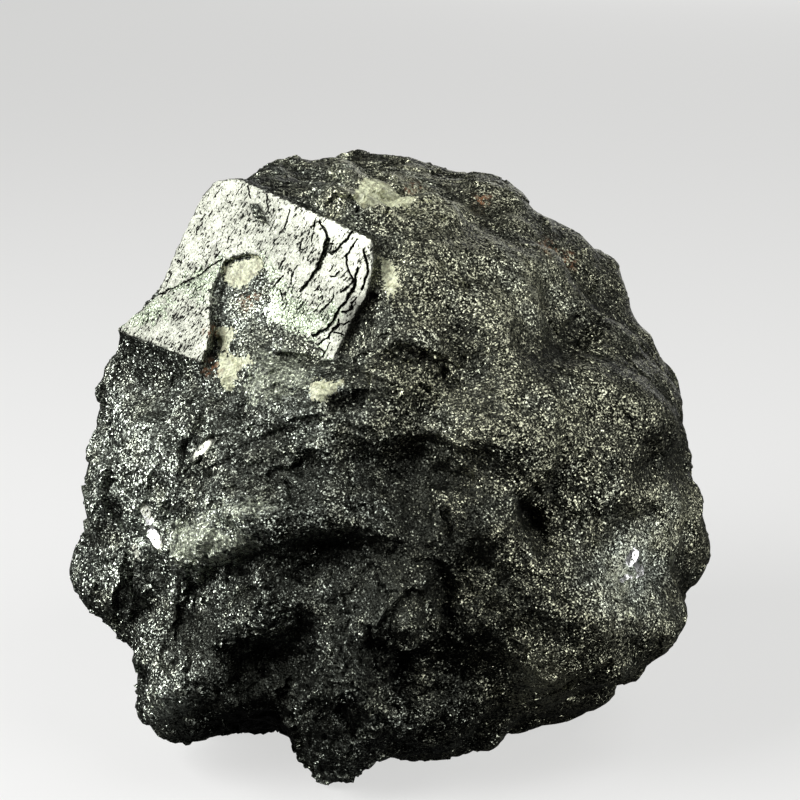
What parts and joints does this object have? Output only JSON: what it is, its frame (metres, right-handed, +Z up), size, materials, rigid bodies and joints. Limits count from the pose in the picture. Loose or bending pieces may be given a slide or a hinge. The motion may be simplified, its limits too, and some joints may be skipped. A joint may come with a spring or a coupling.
{
  "type": "skutterudite mineral specimen",
  "caption": "Hand-sized lump of massive granular skutterudite with bright cubic crystals grown into its upper left, standing on a flat underside.",
  "frame": {"origin": "under the middle of the lump, on the plane that it rests on", "axes": "+Z up, -Y towards the side with the bright crystal faces, +X to the right seen from that side"},
  "size_m": [0.12, 0.1066, 0.1075],
  "materials": {
    "skutterudite": "tin-white to steel-grey metallic arsenide: bright crystal faces, granular speckled mass, a little cream calcite"
  },
  "bodies": {
    "root": {"skutterudite_specimen": "skutterudite"}
  },
  "joints": []
}
